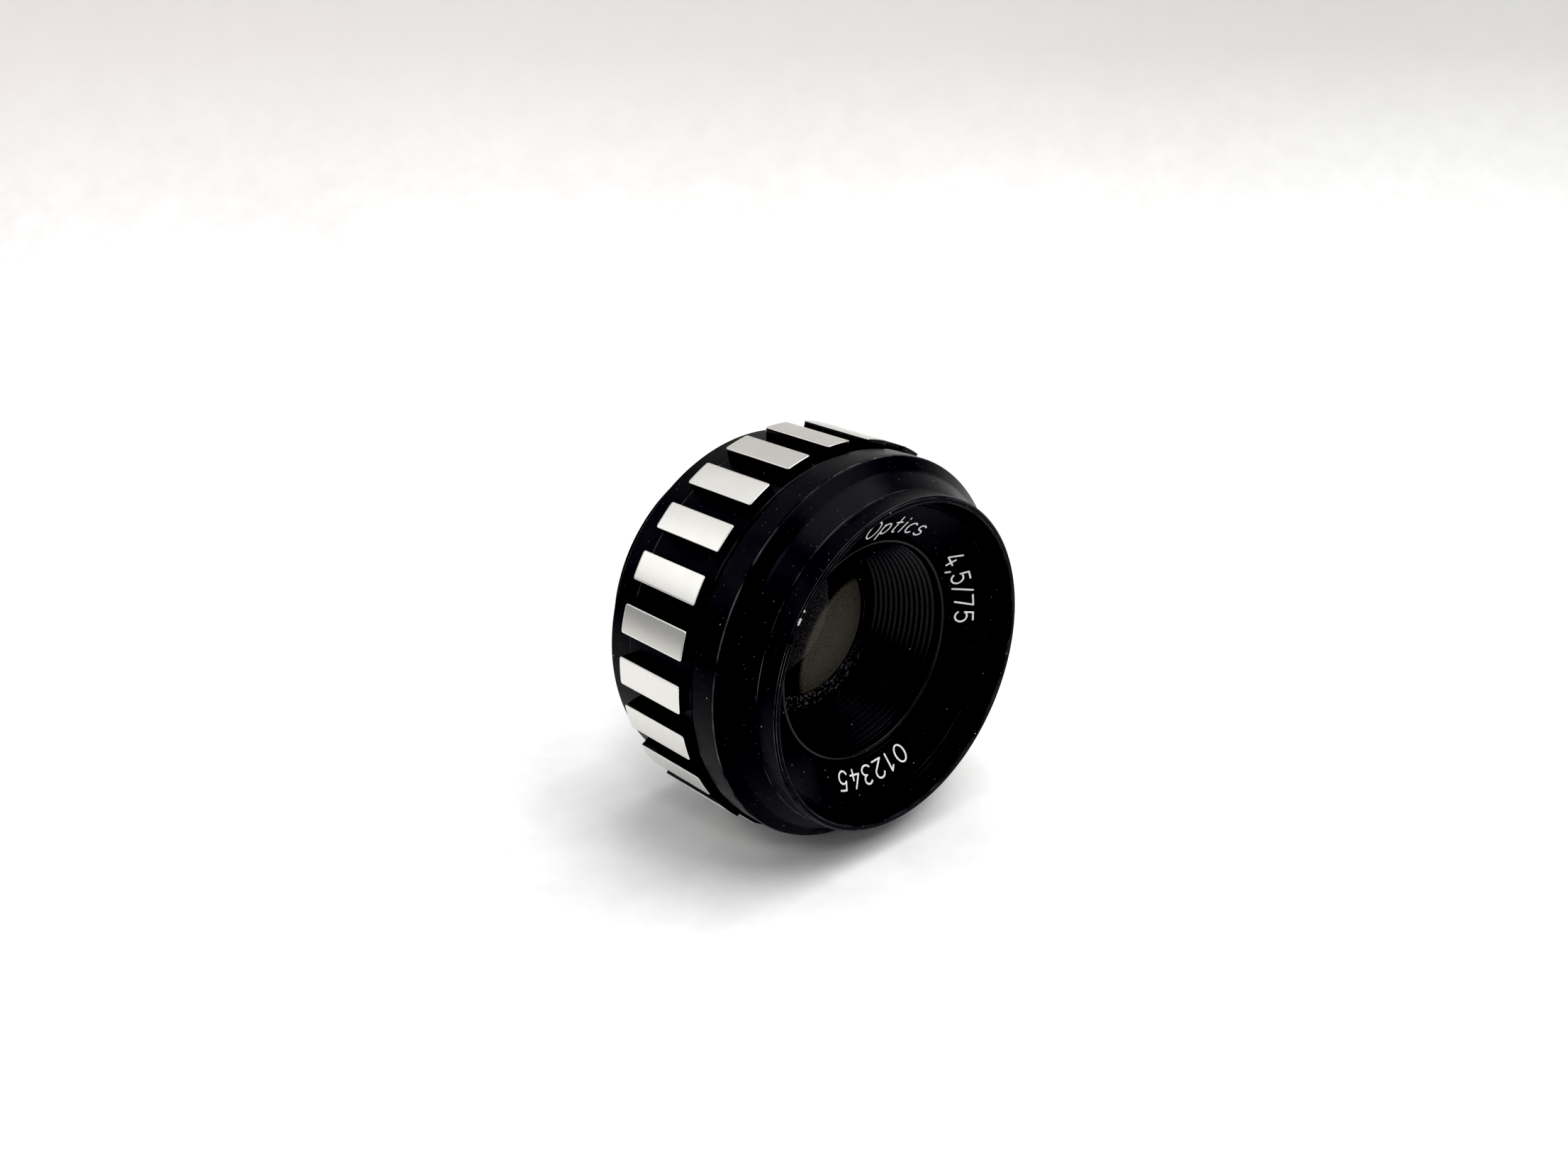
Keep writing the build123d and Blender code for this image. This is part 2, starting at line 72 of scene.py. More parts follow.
# Dimensions shared by several pieces, in millimetres
THREAD_R = 19.5
THREAD_LENGTH = 5.0
THREAD_PITCH = 1.0
THREAD_DEPTH = 0.54
FLANGE_R = 23.2
JOURNAL_R = 20.5
RING_R = 23.5
RING_BEAD_R = 23.7
LAND_COUNT = 24
LAND_R = 25.2
LAND_WIDTH = 3.57
LAND_REAR = 4.55
LAND_FRONT = 15.6
LAND_PHASE = -0.1
BAND_R = 24.35
CONE_INNER = (14.45, 21.3)
CONE_OUTER = (19.05, 24.0)
RECESS_R = 20.15
BAFFLE_GROOVES = 12
SCREW_ANGLE = LAND_PHASE + 7.5 - 105
GRUB_ANGLE = -150.0
INDEX_ANGLE = LAND_PHASE - 120
# Painted reflection on the front glass: centre and radius of the circle that bounds the olive patch, in
# millimetres, and its colour
GLOW_PATCH_CENTRE = (7.0, 0, -5.0)
GLOW_PATCH_R = 9.2
GLOW_PATCH_COLOUR = (0.185, 0.170, 0.134, 1)

# Engraved text, in millimetres
CONE_TEXT_BASE = 1.0
CONE_TEXT_MIDDLE = 2.2
BAND_TEXT_BASE = 19.8
STOP_TURNS = {"4,5": 1.71, "5,6": 14.19, "8": 29.57, "11": 39.43, "16": 47.7}
INDEX_WIDTH = 0.4
INDEX_REACH = (LAND_FRONT - 2.8, LAND_FRONT - 0.5)

# Camera
CAMERA_PLACE = (-0.11102, -0.12534, 0.07270)
CAMERA_HEADING = 42.943
CAMERA_PITCH = -22.929
CAMERA_LENS = 31.686


def spot(radius, height, angle):
    """Place in the row frame, in metres, from millimetres and an angle from the top."""
    turn = math.radians(angle)
    return Vector((-radius * math.sin(turn), -height, radius * math.cos(turn))) * MM


# ------------------------------------------------------------------ meshes


def rounded(corners, radius=0.1):
    """Closed section with its corners rounded, as (radius, height, wear), wear being 1 on outer edges."""
    area = sum(
        corners[i - 1][0] * corners[i][1] - corners[i][0] * corners[i - 1][1] for i in range(len(corners))
    )
    section = []
    for i, corner in enumerate(corners):
        before, here, after = (Vector(corners[k % len(corners)][:2]) for k in (i - 1, i, i + 1))
        size = corner[2] if len(corner) > 2 else radius
        way_in, way_out = here - before, after - here
        reach = min(size, 0.42 * way_in.length, 0.42 * way_out.length)
        bend = way_in.x * way_out.y - way_in.y * way_out.x
        worn = 1.0 if bend * area > 1e-9 else 0.0
        start, end = here - way_in.normalized() * reach, here + way_out.normalized() * reach
        if way_in.length > 0.9:
            section.append((*(start - way_in.normalized() * 0.12), 0.0))
        for share in (0.0, 0.25, 0.5, 0.75, 1.0):
            point = start.lerp(here, share).lerp(here.lerp(end, share), share)
            section.append((point.x, point.y, worn * (1 - abs(2 * share - 1))))
        if way_out.length > 0.9:
            section.append((*(end + way_out.normalized() * 0.12), 0.0))
    return section


def new_piece(name, bm, body, replaced, finish):
    """Finished object from a bmesh, on its body and in place of its CAD nodes."""
    bmesh.ops.recalc_face_normals(bm, faces=bm.faces)
    for face in bm.faces:
        face.smooth = True
    mesh = bpy.data.meshes.new(name)
    bm.to_mesh(mesh)
    bm.free()
    mesh.materials.append(finish)
    piece = bpy.data.objects.new(name, mesh)
    bpy.context.scene.collection.objects.link(piece)
    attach(piece, body)
    if replaced:
        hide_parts(*replaced)
    return piece


def lathe(section, relief=None, segments=SEGMENTS):
    """Closed ring from a section, with an optional relief(radius, height, angle) that moves its radius."""
    bm = bmesh.new()
    edge = bm.verts.layers.float.new("edge")
    rings = []
    for radius, height, worn in section:
        ring = []
        for step in range(segments):
            angle = 360 * step / segments
            shown_r = relief(radius, height, angle) if relief else radius
            vert = bm.verts.new(spot(shown_r, height, angle))
            vert[edge] = worn
            ring.append(vert)
        rings.append(ring)
    for i in range(len(rings)):
        low, high = rings[i - 1], rings[i]
        for k in range(segments):
            bm.faces.new((low[k - 1], low[k], high[k], high[k - 1]))
    return bm


def dome(front, back, edge_r, steps=14, segments=SEGMENTS // 2):
    """Lens from two (vertex height, edge height) pairs, with a pole on each face."""
    bm = bmesh.new()
    bm.verts.layers.float.new("edge")
    rings = []

    def face_height(pair, radius):
        centre, rim = pair
        depth = rim - centre
        bend_r = (edge_r**2 + depth**2) / (2 * abs(depth))
        return centre + math.copysign(bend_r - math.sqrt(bend_r**2 - radius**2), depth)

    for pair, order in ((front, range(1, steps + 1)), (back, range(steps, 0, -1))):
        for k in order:
            radius = edge_r * k / steps
            height = face_height(pair, radius)
            rings.append([bm.verts.new(spot(radius, height, 360 * s / segments)) for s in range(segments)])
    for low, high in zip(rings, rings[1:]):
        for k in range(segments):
            bm.faces.new((low[k - 1], low[k], high[k], high[k - 1]))
    for pair, ring in ((front, rings[0]), (back, rings[-1])):
        pole = bm.verts.new(spot(0, pair[0], 0))
        for k in range(segments):
            bm.faces.new((pole, ring[k - 1], ring[k]))
    return bm


def block_cutter(radius, height, angle, sizes):
    """Box across a radius: sizes are radial, along the rim and along the axis, in millimetres."""
    bm = bmesh.new()
    bmesh.ops.create_cube(bm, size=1.0)
    middle = spot(radius, height, angle)
    outward = (spot(1, 0, angle)).normalized()
    along = Vector((0, -1, 0))
    across = outward.cross(along)
    for vert in bm.verts:
        radial, rim, axial = (place * size * MM for place, size in zip(vert.co, sizes))
        vert.co = middle + outward * radial + across * rim + along * axial
    return bm


def peg_cutter(radius, height, angle, low_r, high_r, sides=32):
    """Round peg that points outward from the axis, for a drilled hole."""
    bm = bmesh.new()
    outward = (spot(1, 0, angle)).normalized()
    along = Vector((0, -1, 0))
    across = outward.cross(along)
    ends = []
    for reach in (low_r, high_r):
        middle = spot(reach, height, angle)
        turns = [2 * math.pi * k / sides for k in range(sides)]
        ends.append(
            [bm.verts.new(middle + (across * math.cos(t) + along * math.sin(t)) * radius * MM) for t in turns]
        )
    for k in range(sides):
        bm.faces.new((ends[0][k - 1], ends[0][k], ends[1][k], ends[1][k - 1]))
    bm.faces.new(ends[0])
    bm.faces.new(ends[1])
    return bm


def cut(piece, cutters):
    """Take the cutters' shapes out of a piece."""
    for cutter in cutters:
        bmesh.ops.recalc_face_normals(cutter, faces=cutter.faces)
        mesh = bpy.data.meshes.new("cutter")
        cutter.to_mesh(mesh)
        cutter.free()
        tool = bpy.data.objects.new("cutter", mesh)
        bpy.context.scene.collection.objects.link(tool)
        hole = piece.modifiers.new("hole", "BOOLEAN")
        hole.object = tool
        hole.solver = "EXACT"
        bpy.context.view_layer.update()
        done = piece.evaluated_get(bpy.context.evaluated_depsgraph_get())
        carved = bpy.data.meshes.new_from_object(done)
        piece.modifiers.remove(hole)
        piece.data = carved
        bpy.data.objects.remove(tool)
        bpy.data.meshes.remove(mesh)


# ------------------------------------------------------------------ finishes


class Value:
    """A value in a finish's node tree. Arithmetic on it adds Math nodes."""

    def __init__(self, finish, socket):
        self.finish = finish
        self.socket = socket

    def math(self, operation, first, second):
        return self.finish.node("ShaderNodeMath", {"operation": operation}, {0: first, 1: second})

    def __add__(self, other):
        return self.math("ADD", self, other)

    def __radd__(self, other):
        return self.math("ADD", other, self)

    def __sub__(self, other):
        return self.math("SUBTRACT", self, other)

    def __rsub__(self, other):
        return self.math("SUBTRACT", other, self)

    def __mul__(self, other):
        return self.math("MULTIPLY", self, other)

    def __rmul__(self, other):
        return self.math("MULTIPLY", other, self)

    def __truediv__(self, other):
        return self.math("DIVIDE", self, other)


class Finish:
    """A material and the nodes that its look is made of."""

    def __init__(self, name):
        self.material = bpy.data.materials.new(name)
        self.material.use_nodes = True
        self.tree = self.material.node_tree
        self.shader = self.tree.nodes["Principled BSDF"]
        self.place = self.node("ShaderNodeTexCoord", output="Object")

    def node(self, kind, settings=None, inputs=None, output=0):
        """Any node, from its type, its settings and the values or links of its sockets."""
        made = self.tree.nodes.new(kind)
        for key, value in (settings or {}).items():
            setattr(made, key, value)
        for key, value in (inputs or {}).items():
            self.feed(made.inputs[key], value)
        return Value(self, made.outputs[output])

    def feed(self, socket, value):
        if isinstance(value, Value):
            self.tree.links.new(value.socket, socket)
        else:
            socket.default_value = value

    def look(self, **sockets):
        """Set or link the shader's sockets, with _ for a space in their names."""
        for key, value in sockets.items():
            self.feed(self.shader.inputs[key.replace("_", " ")], value)

    def ramp(self, value, low, high):
        """0 below low, 1 above high."""
        inputs = {"Value": value, "From Min": low, "From Max": high}
        return self.node("ShaderNodeMapRange", {"clamp": True}, inputs)

    def noise(self, scale, detail=3.0, roughness=0.5):
        inputs = {"Vector": self.place, "Scale": scale, "Detail": detail, "Roughness": roughness}
        return self.node("ShaderNodeTexNoise", {}, inputs)

    def mix(self, share, first, second):
        """Colour between two colours, each a link or an (r, g, b, 1)."""
        inputs = {0: share, 6: first, 7: second}
        return self.node("ShaderNodeMix", {"data_type": "RGBA"}, inputs, 2)

    def axis_radius(self):
        """Distance from the lens axis, in millimetres."""
        flat = self.node(
            "ShaderNodeVectorMath", {"operation": "MULTIPLY"}, {0: self.place, 1: (1 / MM, 0, 1 / MM)}
        )
        return self.node("ShaderNodeVectorMath", {"operation": "LENGTH"}, {0: flat}, "Value")

    def turned_lines(self, radius, pitch):
        """Fine tool marks that run round the axis."""
        split = self.node("ShaderNodeSeparateXYZ", {}, {"Vector": self.place}, "Y")
        along = (radius + split / MM) / pitch
        inputs = {"W": along, "Scale": 1.0, "Detail": 2.0}
        return self.node("ShaderNodeTexNoise", {"noise_dimensions": "1D"}, inputs)

    def specks(self, spacing, size, share):
        """Dust grains, from the spacing and grain size in millimetres and the share of cells with a grain."""
        cell = {"Vector": self.place, "Scale": 1 / (spacing * MM)}
        near = self.node("ShaderNodeTexVoronoi", {}, cell, "Distance")
        tone = self.node("ShaderNodeTexVoronoi", {}, cell, "Color")
        pick = self.node("ShaderNodeSeparateColor", {}, {"Color": tone}, "Red")
        grain = 1 - self.ramp(near, 0.6 * size / spacing, 1.4 * size / spacing)
        return grain * self.ramp(pick, 1 - share, 1 - share + 0.02)

    def nick(self, centre, size):
        """Mask of one small chip in the black, at a place in metres."""
        ends = {0: self.place, 1: tuple(centre)}
        away = self.node("ShaderNodeVectorMath", {"operation": "DISTANCE"}, ends, "Value")
        return 1 - self.ramp(away, 0.8 * size, size)

    def worn_edge(self, amount):
        """Masks on the outer edges: a faint rubbed line, and small bare chips."""
        edge = self.node("ShaderNodeAttribute", {"attribute_name": "edge"}, {}, "Fac")
        line = self.ramp(edge, 0.3, 1.0)
        rubbed = line * self.ramp(self.noise(230, 4.0, 0.6), 0.4, 0.7) * (0.24 * amount)
        chips = line * self.ramp(self.noise(900, 3.0, 0.6), 0.71 - 0.03 * amount, 0.74) * (0.8 * amount)
        return rubbed, chips

    def painted_glow(self, dust_and_glow):
        """Painted reflection on the front of the glass: a dull olive patch inside a circle set off the axis,
        where light reflected and refracted in the lens shows.
        """
        offset = {0: self.place, 1: tuple(-MM * shift for shift in GLOW_PATCH_CENTRE)}
        shifted = self.node("ShaderNodeVectorMath", {"operation": "ADD"}, offset)
        across = {0: shifted, 1: (1 / MM, 0, 1 / MM)}
        flat = self.node("ShaderNodeVectorMath", {"operation": "MULTIPLY"}, across)
        reach = self.node("ShaderNodeVectorMath", {"operation": "LENGTH"}, {0: flat}, "Value")
        glow_ripple = self.noise(170, 2.0, 0.4)
        # Share of the painted olive reflection patch, cut off at the circle's edge, with a faint ripple
        overlay = (1 - self.ramp(reach, GLOW_PATCH_R - 0.2, GLOW_PATCH_R + 0.5)) * (0.32 + 0.06 * glow_ripple) * dust_and_glow
        glow_shader = self.node("ShaderNodeBsdfPrincipled", {}, {"Base Color": GLOW_PATCH_COLOUR, "Roughness": 0.9})
        both = {0: overlay, 1: Value(self, self.shader.outputs[0]), 2: glow_shader}
        mixed = self.node("ShaderNodeMixShader", {}, both)
        self.tree.links.new(mixed.socket, self.tree.nodes["Material Output"].inputs["Surface"])

    def bump(self, height, strength, distance):
        inputs = {"Height": height, "Strength": strength, "Distance": distance * MM}
        return self.node("ShaderNodeBump", {}, inputs)


def grey(tone, tint=0.0):
    """Neutral colour, a touch bluer with a positive tint."""
    return (tone * (1 - tint), tone * (1 - tint / 2), tone * (1 + tint), 1)


def black_anodising(name, nicks=(), tone=0.002, sheen=0.26, worn=0.5, dusty=0.35, gloss=0.042, grime=0.0):
    """Black anodised aluminium with tool marks, dust and bare edges."""
    f = Finish(name)
    radius = f.axis_radius()
    lines = f.turned_lines(radius, 0.07)
    clouds = f.noise(160)
    rubbed, chips = f.worn_edge(worn)
    dust = f.specks(1.1, 0.075, 0.3 * dusty) + f.specks(0.42, 0.028, 0.35 * dusty)
    overlay = f.ramp(f.noise(90, 5.0, 0.6), 0.5, 0.85) * (0.02 * dusty)
    below = f.ramp(f.node("ShaderNodeSeparateXYZ", {}, {"Vector": f.place}, "Z"), -0.003, -0.008)
    overlay = overlay + f.ramp(f.noise(2600, 3.0, 0.6), 0.5, 0.66) * below * grime
    colour = f.mix(clouds, grey(tone, 0.12), grey(1.7 * tone, 0.12))
    colour = f.mix(overlay, colour, grey(0.25))
    colour = f.mix(f.ramp(dust, 0.3, 0.9), colour, grey(0.42))
    for radius_mm, height_mm, angle, size in nicks:
        chips = chips + f.nick(spot(radius_mm, height_mm, angle), size * MM)
    colour = f.mix(rubbed + chips, colour, grey(0.55))
    rough = sheen - 0.06 + 0.12 * f.noise(520, 2.0) + 0.06 * lines + 0.35 * f.ramp(dust, 0.2, 0.8)
    normal = f.bump(lines + 1.6 * dust, 0.25, 0.006)
    f.look(Base_Color=colour, Roughness=rough, Metallic=chips, Normal=normal)
    f.look(Specular_IOR_Level=gloss)
    return f.material


def bright_lands():
    """Bare turned metal on the tops of the lands, black anodising down their sides."""
    f = Finish("bright lands")
    radius = f.axis_radius()
    lines = f.turned_lines(radius * 0, 0.05)
    nicks = f.noise(900, 3.0, 0.6)
    top = f.ramp(radius + 0.03 * nicks, 25.125, 25.155)
    land = f.node("ShaderNodeAttribute", {"attribute_name": "land"}, {}, "Fac")
    metal = f.mix(f.noise(260, 4.0), grey(0.66, -0.035), grey(0.74, -0.03))
    metal = f.mix(land * 0.35, metal, grey(0.68, -0.05))
    metal = f.mix(f.specks(0.6, 0.03, 0.12), metal, grey(0.2))
    colour = f.mix(top, grey(0.002, 0.1), metal)
    rough = 0.24 + 0.04 * lines * top + 0.04 * f.noise(300)
    normal = f.bump(lines * top + 0.4 * nicks, 0.22, 0.006)
    f.look(Base_Color=colour, Roughness=rough, Metallic=top, Normal=normal)
    f.look(Specular_IOR_Level=0.1)
    return f.material


def coated_glass(name, tint, dust_and_glow=0.5, painted_glow=False):
    """Dark optical glass with an olive cast and dust, with a painted olive reflection patch on its front when
    asked. Its low index and tint stand for the coating.
    """
    f = Finish(name)
    dust = f.specks(0.8, 0.03, 0.12 * dust_and_glow)
    f.look(Base_Color=f.mix(dust, tint, grey(0.7)), Roughness=0.25 * dust)
    f.look(Transmission_Weight=1.0, IOR=1.3, Specular_Tint=(0.1, 0.09, 0.12, 1))
    # The painted olive reflection patch goes on the front of the glass
    if painted_glow:
        f.painted_glow(dust_and_glow)
    return f.material


def engraving_paint():
    """White paint rubbed into the engraving, a little worn and dusty."""
    f = Finish("engraving paint")
    grime = f.ramp(f.noise(1500, 4.0, 0.7), 0.52, 0.72)
    colour = f.mix(grime, grey(0.86, -0.01), grey(0.5, -0.03))
    f.look(Base_Color=colour, Roughness=0.55 + 0.25 * grime, Normal=f.bump(grime, 0.3, 0.01))
    return f.material


def plain_metal(name, dark, light, rough, metallic, grain=400):
    """Worked metal inside the lens, with a fine mottle."""
    f = Finish(name)
    mottle = f.noise(grain, 5.0, 0.6)
    f.look(Base_Color=f.mix(mottle, dark, light), Roughness=rough + 0.2 * mottle)
    f.look(Metallic=metallic, Normal=f.bump(mottle, 0.2, 0.01))
    return f.material


def sweep_paper():
    """Pale paper with painted shade: greyer where it rises behind the lens, and painted dark grey beyond the
    lit part of the table and to its left.
    """
    f = Finish("sweep paper")
    height = f.node("ShaderNodeSeparateXYZ", {}, {"Vector": f.place}, "Z")
    sideways = f.node("ShaderNodeSeparateXYZ", {}, {"Vector": f.place}, "X")
    distance = f.node("ShaderNodeVectorMath", {"operation": "LENGTH"}, {0: f.place}, "Value")
    rise = f.ramp(height, -0.022, 0.06)
    mottle = 0.4 * f.noise(9, 2.0) + 0.6 * f.noise(110, 4.0, 0.6)
    lit = f.mix(f.ramp(mottle, 0.35, 0.65), grey(0.80, -0.005), grey(0.91, -0.005))
    # Painted shade on the rise of the sweep: pinkish pale to the left, grey to the right
    wall = f.mix(f.ramp(sideways, -0.05, 0.35), (0.86, 0.80, 0.78, 1), (0.57, 0.558, 0.545, 1))
    # Painted shade: dark grey beyond about half a metre and to the left, where the lamps' light falls off
    limits = {0: f.ramp(distance, 0.46, 0.62), 1: f.ramp(sideways, -0.11, -0.26)}
    away = f.node("ShaderNodeMath", {"operation": "MAXIMUM"}, limits)
    colour = f.mix(away, f.mix(rise * 0.85, lit, wall), grey(0.27))
    f.look(Base_Color=colour, Roughness=0.9 + 0.05 * mottle, Specular_IOR_Level=0.1)
    return f.material


# Chips on the front rim: radius, height, angle and size
RIM_NICKS = (
    (20.7, 27.12, 53.4, 0.16),
    (20.7, 27.12, 56.2, 0.2),
    (20.72, 27.12, 57.0, 0.2),
    (20.7, 27.12, 57.7, 0.16),
)
barrel_black = black_anodising("barrel black", RIM_NICKS, worn=0.9, dusty=0.8)
thread_black = black_anodising("thread black", sheen=0.34, worn=0.8, dusty=0.5)
ring_black = black_anodising("ring black", worn=0.9, dusty=0.6)
cone_black = black_anodising("cone black", tone=0.0015, sheen=0.3, worn=0.3, dusty=0.5)
baffle_black = black_anodising("baffle black", tone=0.002, sheen=0.24, worn=0.15, dusty=0.3, gloss=0.18)
clamp_black = black_anodising("clamp black", tone=0.004, sheen=0.3, worn=0.7, dusty=1.5, grime=0.42)
edge_black = plain_metal("blackened glass edge", grey(0.003), grey(0.006), 0.7, 0.0)
land_metal = bright_lands()
# Front glass, with the painted olive reflection patch
glass_finish = coated_glass("front glass", (0.20, 0.19, 0.14, 1), 1.0, painted_glow=True)
inner_glass_finish = coated_glass("inner glass", (0.2, 0.19, 0.16, 1), 0.3)
paint = engraving_paint()
index_paint = plain_metal("index mark paint", (0.42, 0.02, 0.015, 1), (0.5, 0.03, 0.02, 1), 0.5, 0.0, 900)
blade_steel = plain_metal("blued spring steel", grey(0.14, 0.2), grey(0.24, 0.15), 0.35, 0.9)
black_brass = plain_metal("blackened brass", (0.004, 0.0037, 0.003, 1), (0.009, 0.008, 0.006, 1), 0.5, 0.1)
screw_finish = plain_metal("blackened screws", grey(0.05), grey(0.16), 0.32, 1.0, 900)
washer_finish = plain_metal("rolled brass", (0.55, 0.40, 0.16, 1), (0.72, 0.55, 0.25, 1), 0.3, 1.0)

# ------------------------------------------------------------------ turned pieces


def thread_form(radius, height, angle):
    """Radius of the threaded tube: a right-hand thread with a lead at its end and a relief at the seat."""
    if radius < THREAD_R - 0.3 or height > -0.02:
        return radius
    phase = (height / THREAD_PITCH - angle / 360) % 1.0
    tooth = min(1.0, max(0.0, 2.3 * abs(phase - 0.5) - 0.12))
    lead = min(1.0, (height + THREAD_LENGTH) / 0.5)
    depth = THREAD_DEPTH * tooth + THREAD_DEPTH * (1 - lead)
    if height > -0.75:
        depth = THREAD_DEPTH * 1.1 * min(1.0, (-height - 0.02) / 0.08)
    return radius - min(depth, THREAD_DEPTH * 1.1)


def make_rear_barrel():
    """Threaded tube, flange and journal."""
    threads = [(THREAD_R, -THREAD_LENGTH + 0.05 * k, 0.3) for k in range(100)]
    inside = rounded(
        [
            (22.95, 0),
            (23.2, 0.25),
            (FLANGE_R, 3.85),
            (FLANGE_R - 0.15, 4.0),
            (22.7, 4.0, 0.03),
            (22.7, 3.4, 0.03),
            (21.2, 3.4, 0.03),
            (21.2, 4.0, 0.03),
            (JOURNAL_R, 4.0, 0.02),
            (JOURNAL_R, 16.0),
            (18.5, 16.0),
            (18.5, 18.8),
            (17.0, 18.8),
            (17.0, 6.8),
            (16.2, 6.8),
            (16.2, -0.25),
            (12.17, -0.25),
            (12.17, -1.4),
            (17.9, -1.4),
            (17.9, -THREAD_LENGTH, 0.15),
        ]
    )
    section = threads + [(THREAD_R, -0.001, 0.0), (THREAD_R + 0.1, 0.0, 0.0)] + inside
    bm = lathe(section, thread_form)
    new_piece("rear_barrel_turned", bm, "barrel", ["rear_barrel"], thread_black)


def make_ring():
    """Aperture ring: the turned body and its lands."""
    section = rounded(
        [
            (JOURNAL_R + 0.05, 4.15),
            (RING_R - 0.15, 4.15),
            (RING_R, 4.3),
            (RING_R, LAND_FRONT - 0.05),
            (RING_BEAD_R, LAND_FRONT + 0.05),
            (RING_BEAD_R, 15.75),
            (RING_BEAD_R - 0.1, 15.85),
            (JOURNAL_R + 0.05, 15.85),
        ],
        0.05,
    )
    bm = lathe(section)
    ring = new_piece("ring_body", bm, "aperture_ring", ["aperture_ring"], ring_black)
    cut(ring, [peg_cutter(0.8, 5.2, SCREW_ANGLE, 20, 26)])
    bm = bmesh.new()
    tone = bm.verts.layers.float.new("land")
    for k in range(LAND_COUNT):
        add_land(bm, tone, LAND_PHASE + 360 / LAND_COUNT * k, random.random())
    new_piece("ring_lands", bm, "aperture_ring", ["aperture_ring"], land_metal)


def add_land(bm, tone_layer, angle, tone):
    """One land: a block with rounded corners and soft edges, its top on the ring's outer cylinder."""
    corner_r, edge_r, steps = 0.3, 0.07, 4
    insets = [(0, LAND_R - 1.9), (0, LAND_R - edge_r), (0.02, LAND_R - 0.02), (edge_r, LAND_R)]
    insets += [(inset, LAND_R) for inset in (0.2, 0.5, 0.9, 1.3, 1.6)]
    turn = math.radians(angle)
    outward = Vector((-math.sin(turn), 0, math.cos(turn)))
    across = Vector((math.cos(turn), 0, math.sin(turn)))
    loops = []
    for inset, top_r in insets:
        half_width = LAND_WIDTH / 2 - inset
        half_length = (LAND_FRONT - LAND_REAR) / 2 - inset
        round_r = max(corner_r - inset, 0.001)
        outline = []
        for side_x, side_y, first in ((1, 1, 0), (-1, 1, 90), (-1, -1, 180), (1, -1, 270)):
            for step in range(steps + 1):
                at = math.radians(first + 90 * step / steps)
                x = side_x * (half_width - round_r) + round_r * math.cos(at)
                y = side_y * (half_length - round_r) + round_r * math.sin(at)
                outline.append((x, y))
            if side_x * side_y > 0:
                x0, y0 = outline[-1]
                for share in (0.2, 0.35, 0.5, 0.65, 0.8):
                    outline.append((x0 * (1 - 2 * share), y0))
        loop = []
        for x, y in outline:
            lift = math.sqrt(top_r**2 - x**2)
            height = (LAND_FRONT + LAND_REAR) / 2 + y
            vert = bm.verts.new((outward * lift + across * x + Vector((0, -height, 0))) * MM)
            vert[tone_layer] = tone
            loop.append(vert)
        loops.append(loop)
    for low, high in zip(loops, loops[1:]):
        for k in range(len(low)):
            bm.faces.new((low[k - 1], low[k], high[k], high[k - 1]))
    bm.faces.new(loops[0])
    bm.faces.new(loops[-1])


def make_front_barrel():
    """Band, shoulder, neck and rim."""
    section = rounded(
        [
            (18.52, 16.0, 0.05),
            (22.4, 16.0, 0.05),
            (22.8, 16.9, 0.05),
            (BAND_R - 0.12, 16.9, 0.06),
            (BAND_R, 17.02, 0.06),
            (BAND_R, 20.5, 0.22),
            (22.7, 21.95, 0.25),
            (21.15, 24.25, 0.12),
            (21.0, 24.45, 0.12),
            (21.0, 26.95, 0.08),
            (20.8, 27.15, 0.08),
            (RECESS_R + 0.12, 27.15, 0.06),
            (RECESS_R, 27.03, 0.06),
            (RECESS_R, 24.2, 0.03),
            (20.0, 24.2, 0.03),
            (20.0, 20.25, 0.03),
            (15.1, 20.25, 0.03),
            (15.1, 18.85, 0.03),
            (18.52, 18.85, 0.03),
        ]
    )
    bm = lathe(section)
    piece = new_piece("front_barrel_turned", bm, "barrel", ["front_barrel"], barrel_black)
    cut(piece, [peg_cutter(0.8, 18.0, GRUB_ANGLE, 17.5, 25.5)])


def make_nameplate():
    """Engraved cone and the ring that locks it."""
    section = rounded(
        [
            (CONE_INNER[0], 20.27, 0.05),
            (19.98, 20.27, 0.05),
            (19.98, 23.2, 0.03),
            (CONE_OUTER[0], 23.2, 0.03),
            (*CONE_OUTER, 0.05),
            (*CONE_INNER, 0.08),
        ]
    )
    new_piece("nameplate", lathe(section), "barrel", ["nameplate_cone"], cone_black)
    section = rounded([(19.1, 23.25), (19.98, 23.25), (19.98, 24.0), (19.83, 24.15), (19.1, 24.15)], 0.05)
    bm = lathe(section)
    ring = new_piece("lock_ring", bm, "barrel", ["nameplate_lock_ring"], barrel_black)
    cut(ring, [block_cutter(19.35, 24.2, angle, (1.0, 1.2, 1.0)) for angle in (-70, 110)])


def make_baffle():
    """Grooved cone between the nameplate and the front glass."""
    rear, front, rear_r, front_r, depth = 10.95, 20.1, 11.6, 13.55, 0.28
    pitch = (front - rear) / BAFFLE_GROOVES
    rise = (front_r - rear_r) / (front - rear)
    teeth = [(rear_r, rear, 0.03)]
    for groove in range(BAFFLE_GROOVES):
        crest = rear + groove * pitch
        crest_r = rear_r + groove * pitch * rise
        teeth.append((crest_r, crest + 0.25 * pitch, 0.05))
        teeth.append((crest_r + rise * pitch + depth, crest + 0.6 * pitch, 0.05))
        teeth.append((crest_r + rise * pitch, crest + pitch, 0.05))
    bead = [(13.65, 20.6, 0.05), (13.72, 20.95, 0.15), (14.02, 21.1, 0.2), (14.3, 20.95, 0.15)]
    seat = [(14.4, 20.2, 0.05), (15.08, 20.2, 0.05), (15.08, 18.9, 0.05)]
    skirt = [(14.3, 18.9, 0.05), (12.7, rear, 0.05)]
    section = rounded(teeth + bead + seat + skirt)
    new_piece("baffle", lathe(section), "barrel", ["front_baffle"], baffle_black)


